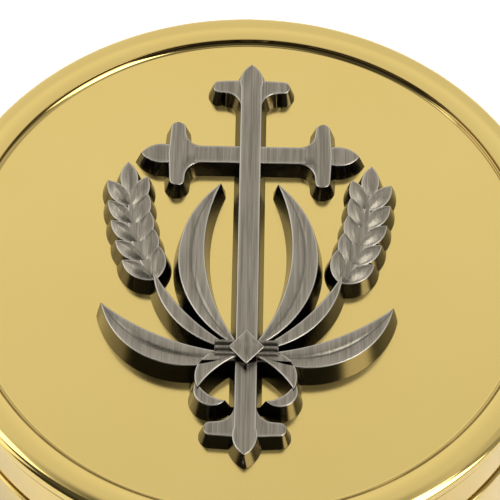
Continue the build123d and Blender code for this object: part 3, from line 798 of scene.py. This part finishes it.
def casting(emblem, left, right, height, crest="flat", slope=0.0, sink=0.0):
    """A casting between two edge lines, in squares of the drawing.

    For each pair of edge points a closed section runs up the left side, which leans in from the plate,
    round a small edge, over the top and down the right side. The top is flat, has a groove down its
    middle, or rises as a roof by the slope. Where the shape narrows to a tip, edge and crest shrink with
    it. The left edge sinks, and rises evenly from there to the middle."""
    left, right = left * SQUARE, right * SQUARE
    half = np.linalg.norm(right - left, axis=1)[:, None] / 2
    height = height - slope * half.max()
    lean = np.arctan2(emblem.draft, height)
    bite = emblem.edge * np.tan(pi / 4 - lean / 2)
    turn = np.linspace(lean, pi / 2, SMALL_STEPS)
    fit = np.clip(half / (bite + 3 * GUARD), 0, 1)
    corner = np.concatenate([bite - emblem.edge * np.cos(turn), [bite + GUARD]]) * fit
    wall_drop = np.hstack([height + 0 * fit, height - GUARD + 0 * fit, (bite * np.cos(lean) + GUARD) * fit])
    drop = np.hstack([wall_drop, np.concatenate([emblem.edge * (1 - np.sin(turn)), [0]]) * fit])
    rest = half - corner[:, -1:]
    if crest == "groove":
        away = np.minimum(rest, GROOVE_AWAY)
        lift = -emblem.rib_depth * GROOVE_DEEP * np.clip(rest / MM - GROOVE_END, 0, 1)
    else:
        away, lift = rest * ROOF_AWAY, slope * rest * (1 - np.maximum(ROOF_AWAY, ROOF_RIDGE))
    inset = np.hstack([-emblem.draft * wall_drop / height, corner, half - away])
    rise = np.hstack([height - drop, height + lift])
    # Black patination with painted shade up the sides and in a leaf's groove, painted highlight round the
    # edges bright from rubbing
    wear_and_shade = np.concatenate([SIDE_SHADE_AND_HIGHLIGHT, np.zeros(away.shape[1])])
    if crest == "groove":
        wear_and_shade[-2:] = GROOVE_SHADE
    across = (np.maximum(inset, 0) / np.maximum(2 * half, WELD))[..., None]
    out = (np.maximum(-inset, 0) / emblem.draft)[..., None]
    left_foot, right_foot = splayed(left, right, emblem.draft)
    left_half = left[:, None] + (right - left)[:, None] * across + left_foot[:, None] * out
    right_half = right[:, None] + (left - right)[:, None] * across + right_foot[:, None] * out
    flat = np.concatenate([left_half, right_half[:, -2::-1]], 1)
    sunk = rise * (1 - sink / height * (1 - np.maximum(inset, 0) / np.maximum(half, WELD)))
    rise, wear_and_shade = np.hstack([sunk, rise[:, -2::-1]]), np.concatenate([wear_and_shade, wear_and_shade[-2::-1]])
    points = np.concatenate([flat, cross_low.z + rise[..., None]], -1)
    ends = points[[0, -1]]
    ends[..., :2] = (ends[..., :2] + ends[:, ::-1, :2]) / 2
    return capped(points, ends, wear_and_shade)


def bowed(start, end, bow, steps):
    """Points on a circular arc over a chord c that bows out to one side.

    Along the chord it is c/2 (1 + sin a / sin b), and out from it c/2 (cos a - cos b) / sin b."""
    start, end = np.array(start), np.array(end)
    chord = np.linalg.norm(end - start)
    ahead = (end - start) / chord
    side = np.array([-ahead[1], ahead[0]])
    most = 2 * np.arctan(2 * bow / chord)
    angle = most * -np.cos(np.linspace(0, pi, steps))
    along = chord / 2 * (1 + np.sin(angle) / np.sin(most))
    out = chord / 2 * (np.cos(angle) - np.cos(most)) / np.sin(most)
    return start + along[:, None] * ahead + out[:, None] * side


def blade(emblem, shape, height, crest, slope=0.0, steps=BLADE_STEPS):
    """A two-tipped casting between two arcs, and its mirror image."""
    start, end, left, right = shape
    edges = bowed(start, end, left, steps), bowed(start, end, right, steps)
    return [casting(emblem, edges[0] * (side, 1), edges[1] * (side, 1), height, crest, slope)
            for side in (1, -1)]


def strip_edges(low, high, half):
    """Edges of a strip along Y with a petal at each end, whose sides are circles through three points."""
    known = np.array([(half, PETAL_LENGTH), (PETAL_HALF, PETAL_SWELL), (0, 0)])
    ends = np.hstack([2 * known, np.ones((3, 1))])
    a, b, c = np.linalg.solve(ends, (known ** 2).sum(1))
    radius = np.sqrt(c + a * a + b * b)
    deep = PETAL_LENGTH * np.linspace(0, 1, PETAL_STEPS) ** PETAL_EASE
    wide = a + np.sqrt(radius ** 2 - (deep - b) ** 2)
    wide[0] = 0
    y = np.concatenate([low + deep, high - deep[::-1]])
    x = np.concatenate([wide, wide[::-1]])
    return np.stack([-x, y], 1), np.stack([x, y], 1)


def lobe_edges(arm_half):
    """Edges of a pair of round-ended lobes across an arm along +Y, flared into it on the inner side."""
    corners = [(arm_half, -FLARE_LENGTH), (arm_half, -LOBE_HALF), (LOBE_SPAN, -LOBE_END),
               (LOBE_SPAN, LOBE_END), (0, LOBE_HALF)]
    line = rounded(corners, [FLARE_RADIUS, LOBE_ROUND, LOBE_ROUND], LOBE_STEPS)
    tip = int(np.argmax(line[:, 0]))
    x = np.unique(np.round(line[:, 0], 4))
    x = np.concatenate([-x[::-1], x[1:]])
    low = np.interp(np.abs(x), line[:tip + 1, 0], line[:tip + 1, 1])
    high = np.interp(np.abs(x), line[:tip:-1, 0], line[:tip:-1, 1])
    low = np.where(np.abs(x) < arm_half, -FLARE_LENGTH, low)
    return np.stack([x, low], 1), np.stack([x, high], 1)


def placed(edges, turn, x, y):
    """Both edge lines turned by quarter turns and moved, in squares."""
    cosine, sine = round(cos(turn * pi / 2)), round(sin(turn * pi / 2))
    matrix = np.array([(cosine, sine), (-sine, cosine)])
    return [line @ matrix + (x, y) for line in edges]


class PyxCross(bpy.types.Operator):
    """Cast cross with budded ends"""
    bl_idname = "pyx.cross"
    bl_label = "Cross"

    def execute(self, context):
        emblem = context.scene.pyx_emblem
        stem = strip_edges(FOOT_SQUARES, TOP_SQUARES, STEM_HALF)
        bar = placed(strip_edges(-ARM_REACH, ARM_REACH, BAR_HALF), 1, 0, BAR_LEVEL)
        shells = [casting(emblem, *stem, emblem.cross_height), casting(emblem, *bar, emblem.bar_height)]
        for turn, level in ((0, TOP_SQUARES - LOBE_BACK), (2, FOOT_SQUARES + LOBE_BACK)):
            lobes = placed(lobe_edges(STEM_HALF), turn, 0, level)
            shells.append(casting(emblem, *lobes, emblem.bar_height))
        for side in (-1, 1):
            lobes = placed(lobe_edges(BAR_HALF), -side, side * (ARM_REACH - SIDE_LOBE_BACK), BAR_LEVEL)
            shells.append(casting(emblem, *lobes, emblem.cross_height, sink=LOBE_SINK))
        make_piece("cross", shells, "lid", "emblem_cross", pewter_metal())
        return {"FINISHED"}


class PyxSheaf(bpy.types.Operator):
    """Cast sheaf of two ears and four leaves, tied over the cross"""
    bl_idname = "pyx.sheaf"
    bl_label = "Sheaf"

    def execute(self, context):
        emblem = context.scene.pyx_emblem
        shells = []
        for shape, height, crest in ((INNER_LEAF, emblem.leaf_height, "groove"),
                                     (LOWER_LEAF, emblem.leaf_height, "groove"),
                                     (STALK, emblem.stalk_height, "flat"),
                                     (TAIL, emblem.leaf_height, "flat"),
                                     (TAIL_CURL, emblem.stalk_height, "flat")):
            shells += blade(emblem, shape, height, crest)
        spine = (EAR_FOOT, EAR_TIP, EAR_BOW + SPINE_HALF, EAR_BOW - SPINE_HALF)
        shells += blade(emblem, spine, emblem.spine_height, "flat")
        for grain in self.grains():
            shells += blade(emblem, grain, emblem.grain_height, "roof", GRAIN_SLOPE, GRAIN_STEPS)
        shells.append(self.tie(emblem))
        x = BOSS_HALF_WIDTH * np.sin(np.linspace(-pi / 2, pi / 2, BOSS_STEPS))
        y = BOSS_HALF_HEIGHT * (1 - np.abs(x) / BOSS_HALF_WIDTH)
        edges = np.stack([x, TIE_LEVEL - y], 1), np.stack([x, TIE_LEVEL + y], 1)
        shells.append(casting(emblem, *edges, emblem.boss_height, "roof", BOSS_SLOPE))
        make_piece("sheaf", shells, "lid", "emblem_sheaf", pewter_metal())
        return {"FINISHED"}

    def grains(self):
        """Pairs of grains up a bowed ear, and one at its tip, as blades."""
        foot, tip = np.array(EAR_FOOT), np.array(EAR_TIP)
        length_up = np.linalg.norm(tip - foot)
        heading = np.arctan2(*(tip - foot)[::-1])
        curve = 4 * np.arctan(2 * EAR_BOW / length_up)
        along = np.minimum((np.arange(GRAIN_PAIRS + 1) + GRAIN_START) / GRAIN_PAIRS, 1)
        out = 4 * EAR_BOW * along * (1 - along)
        root = foot + length_up * along[:, None] * (np.cos(heading), np.sin(heading))
        root = root + out[:, None] * (-np.sin(heading), np.cos(heading))
        lean = heading + curve * (0.5 - along)
        steps = np.append(np.repeat(np.arange(GRAIN_PAIRS), 2), GRAIN_PAIRS)
        angle = lean[steps] + radians(GRAIN_SPLAY) * np.append(np.tile([-1, 1], GRAIN_PAIRS), 0)
        tips = root[steps] + GRAIN_LENGTH * np.stack([np.cos(angle), np.sin(angle)], 1)
        return [(start, end, GRAIN_HALF, -GRAIN_HALF) for start, end in zip(root[steps], tips)]

    def tie(self, emblem):
        """Band across the sheaf: a section with three round ribs carried along X, drawn in at its ends."""
        v = np.linspace(-1, 1, TIE_STEPS)
        u = v[:, None]
        wide, half, level = (size * SQUARE for size in (TIE_HALF_WIDTH, TIE_HALF_HEIGHT, TIE_LEVEL))
        x = wide * np.sin(u * pi / 2)
        rib = np.abs(np.cos(TIE_RIBS / 2 * pi * v))
        fade = np.clip((1 - np.abs(u)) / TIE_FADE, 0, 1) ** 0.5
        top = emblem.tie_height + RIB_HIGH * (rib ** RIB_ROUND - 1)
        top = top - TIE_END_DROP * (1 - fade) - TIE_SIDE_DROP * np.abs(v) ** 8
        y = level + half * v
        y = np.concatenate([y[:1] - emblem.draft, y, y[-1:] + emblem.draft])
        z = cross_low.z + np.hstack([0 * fade, top, 0 * fade])
        # Black patination with painted shade between the ribs
        wear_and_shade = np.concatenate([[1], RIB_SHADE * (1 - rib ** 0.5), [1]])
        points = np.stack(np.broadcast_arrays(x, y, z), -1)
        points[:, [0, -1], 0] *= 1 + emblem.draft / wide
        ends = points[[0, -1]]
        ends[..., 1] = level
        return capped(points, ends, wear_and_shade)


class PyxRivets(bpy.types.Operator):
    """Rivets that hold the castings, headed inside the lid"""
    bl_idname = "pyx.rivets"
    bl_label = "Emblem rivets"

    def execute(self, context):
        """A rivet's profile carried round each rivet's axis."""
        low, high = rivet_low, rivet_high
        profile = rivet(low.z, high.z, RIVET_HEAD, low.z + RIVET_NECK, RIVET_DOME, RIVET_SHANK)
        start, end, left, right = INNER_LEAF
        start, end = np.array(start) * SQUARE, np.array(end) * SQUARE
        ahead = unit(end - start)
        leaf = (start + end) / 2 + np.array([-ahead[1], ahead[0]]) * (left + right) / 2 * SQUARE
        places = [(0, high.y - RIVET_HEAD), (0, low.y + RIVET_HEAD), leaf, leaf * (-1, 1)]
        shells = [turned(profile, RIVET_SEGMENTS, "Z", (x, y, 0)) for x, y in places]
        make_piece("rivets", shells, "lid", "emblem_rivets", rivet_brass())
        return {"FINISHED"}


# Stage: metres, brightness, and angles in degrees

FLOOR_RINGS, FLOOR_SEGMENTS, FLOOR_GREY = (0.0, 0.2, 1.0, 3.0), 64, 0.86
SENSOR, CLIP = 36.0, (0.01, 10.0)
OVERHEAD, OVERHEAD_RIGHT, RIGHT_EDGE = 0.1, 0.36, 0.25      # above at the left, and what the right has more
BACK_TOP, BACK_TILT = (78, 62), 0.1                         # where the back light ends; brighter at the left
BACK_LOSSES = ((0.18, 48, 62), (0.17, 52.5, 46))            # dimmer above one angle and below another
SPOT, SPOT_EDGE = 0.8, (79, 85)                             # pale spot straight above
# Panels: brightness or its property, from and to round the box (0 at the camera, right positive), from and
# to above the floor, and half the width of their soft sides. A later panel covers an earlier one.
PANELS = (
    (0.35, 72, 92, -20, 64, 4),                 # grey wall at the right
    (0.65, 92, 130, -20, 64, 4),                # paler wall beyond it
    (0.09, -90, 42, 46, 95, 3),                 # dark ceiling over the camera
    ("front_light", -70, 42, 8, 48, 3),         # dark room behind the camera
    (0.3, 42, 74, -20, 18, 3),                  # under the right soft box
    ("right_light", 42, 74, 18, 60, 2),         # right soft box
    ("right_light", 42, 86, 57, 68, 2),         # its upper end, which reaches farther back
    ("left_light", -124, -92, 44, 65, 2),       # left soft box
    (1.6, -100, -72, 10, 46, 3),                # pale panel under it
)


class PyxStudio(bpy.types.Operator):
    """White floor, studio light and the camera"""
    bl_idname = "pyx.studio"
    bl_label = "Studio"

    def execute(self, context):
        stage = context.scene.pyx_stage
        context.scene.view_settings.view_transform = "Standard"
        self.floor(stage)
        self.light(context.scene, stage)
        self.camera(context.scene, stage)
        return {"FINISHED"}

    def floor(self, stage):
        """A round floor: rings of radius r at height 0."""
        ring = np.stack([FLOOR_RINGS, np.zeros(len(FLOOR_RINGS))], 1)
        flat, quads, triangles, _ = turned(ring, FLOOR_SEGMENTS)
        mesh = bpy.data.meshes.new("floor")
        mesh.from_pydata(flat, [], quads.tolist() + triangles.tolist())
        material = bpy.data.materials.new("floor_white")
        material.use_nodes = True
        tree = material.node_tree
        tree.nodes.clear()
        path = node(tree, "ShaderNodeLightPath")
        seen, glossy, through = (Flow(tree, path.socket.node.outputs[kind])
                                 for kind in ("Is Camera Ray", "Is Glossy Ray", "Is Transmission Ray"))
        glow = stage.floor_white * seen + stage.floor_glint * glossy.math("MAXIMUM", glossy, through)
        matt = node(tree, "ShaderNodeBsdfDiffuse", None, {"Color": rgba(3 * [FLOOR_GREY])})
        lift = node(tree, "ShaderNodeEmission", None, {"Color": (1, 1, 1, 1), "Strength": glow})
        both = node(tree, "ShaderNodeAddShader", None, {0: matt, 1: lift})
        node(tree, "ShaderNodeOutputMaterial", None, {"Surface": both})
        mesh.materials.append(material)
        floor = bpy.data.objects.new("floor", mesh)
        bpy.context.scene.collection.objects.link(floor)

    def light(self, scene, stage):
        """A studio round the box: bright behind, soft boxes left and right, dark where the camera stands,
        and a pale spot straight above. The camera itself sees plain white."""
        world = bpy.data.worlds.new("studio")
        scene.world = world
        world.use_nodes = True
        tree = world.node_tree
        tree.nodes.clear()
        way = node(tree, "ShaderNodeTexCoord", output="Generated")
        parts = node(tree, "ShaderNodeSeparateXYZ", None, {0: way}).socket.node.outputs
        x, y, z = (Flow(tree, parts[axis]) for axis in "XYZ")
        round_by = x.math("ARCTAN2", x, 0 - y) * (180 / pi)
        up = z.math("ARCSINE", z) * (180 / pi)

        def patch(left, right, low, high, soft):
            """1 inside a patch of the sky between two angles round and two angles up, with soft sides."""
            sides = between(tree, round_by, left - soft, left + soft) * between(
                tree, round_by, right + soft, right - soft)
            return sides * between(tree, up, low - soft, low + soft) * between(
                tree, up, high + soft, high - soft)

        above = OVERHEAD + OVERHEAD_RIGHT * between(tree, x, 0.0, RIGHT_EDGE)
        behind = stage.back_light
        for amount, none, full in BACK_LOSSES:
            behind = behind - amount * between(tree, up, none, full)
        level = above + (behind - x * BACK_TILT - above) * between(tree, up, *BACK_TOP)
        areas = [(getattr(stage, light) if isinstance(light, str) else light, patch(*place))
                 for light, *place in PANELS]
        for amount, area in areas + [(SPOT, between(tree, up, *SPOT_EDGE))]:
            level = level * (1 - area) + area * amount
        seen = node(tree, "ShaderNodeLightPath", output="Is Camera Ray")
        level = level * (1 - seen) + seen
        sky = node(tree, "ShaderNodeBackground", None, {"Color": (1, 1, 1, 1), "Strength": level})
        node(tree, "ShaderNodeOutputWorld", None, {"Surface": sky})

    def camera(self, scene, stage):
        """Camera on a line through the middle of the lid's border, aimed a little past it."""
        data = bpy.data.cameras.new("camera")
        data.lens, data.sensor_width = stage.focal, SENSOR
        data.clip_start, data.clip_end = CLIP
        camera = bpy.data.objects.new("camera", data)
        scene.collection.objects.link(camera)
        middle = Vector((0, 0, lid_high.z))
        back = Vector((0, -cos(stage.elevation), sin(stage.elevation)))
        up = Vector((0, sin(stage.elevation), cos(stage.elevation)))
        place = middle + stage.distance * back
        target = middle + stage.aim_right * Vector((1, 0, 0)) + stage.aim_up * up
        turn = (target - place).to_track_quat("-Z", "Y").to_matrix().to_4x4()
        camera.matrix_world = Matrix.Translation(place) @ turn @ Matrix.Rotation(stage.roll, 4, "Z")
        scene.camera = camera


class PyxPanel(bpy.types.Panel):
    """Buttons and sizes of the pyx"""
    bl_idname = "VIEW3D_PT_pyx"
    bl_label = "Pyx"
    bl_space_type = "VIEW_3D"
    bl_region_type = "UI"
    bl_category = "Pyx"

    def draw(self, context):
        for operator in OPERATORS:
            self.layout.operator(operator.bl_idname)
        for name in GROUPS:
            group = getattr(context.scene, name)
            column = self.layout.column()
            for key in group.bl_rna.properties.keys():
                if key not in ("rna_type", "name"):
                    column.prop(group, key)


OPERATORS = (PyxStudio, PyxLid, PyxBase, PyxHingeLeaves, PyxTab, PyxCatch, PyxCross, PyxSheaf, PyxRivets)
GROUPS = {"pyx_box": PyxBox, "pyx_hinge": PyxHinge, "pyx_emblem": PyxEmblem, "pyx_finish": PyxFinish,
          "pyx_stage": PyxStage}


def register():
    for kind in (*GROUPS.values(), *OPERATORS, PyxPanel):
        bpy.utils.register_class(kind)
    for name, group in GROUPS.items():
        setattr(bpy.types.Scene, name, PointerProperty(type=group))


def unregister():
    for name in GROUPS:
        delattr(bpy.types.Scene, name)
    for kind in (PyxPanel, *OPERATORS[::-1], *GROUPS.values()):
        bpy.utils.unregister_class(kind)


def main():
    register()
    for operator in OPERATORS:
        family, name = operator.bl_idname.split(".")
        getattr(getattr(bpy.ops, family), name)()


if __name__ == "__main__":
    main()
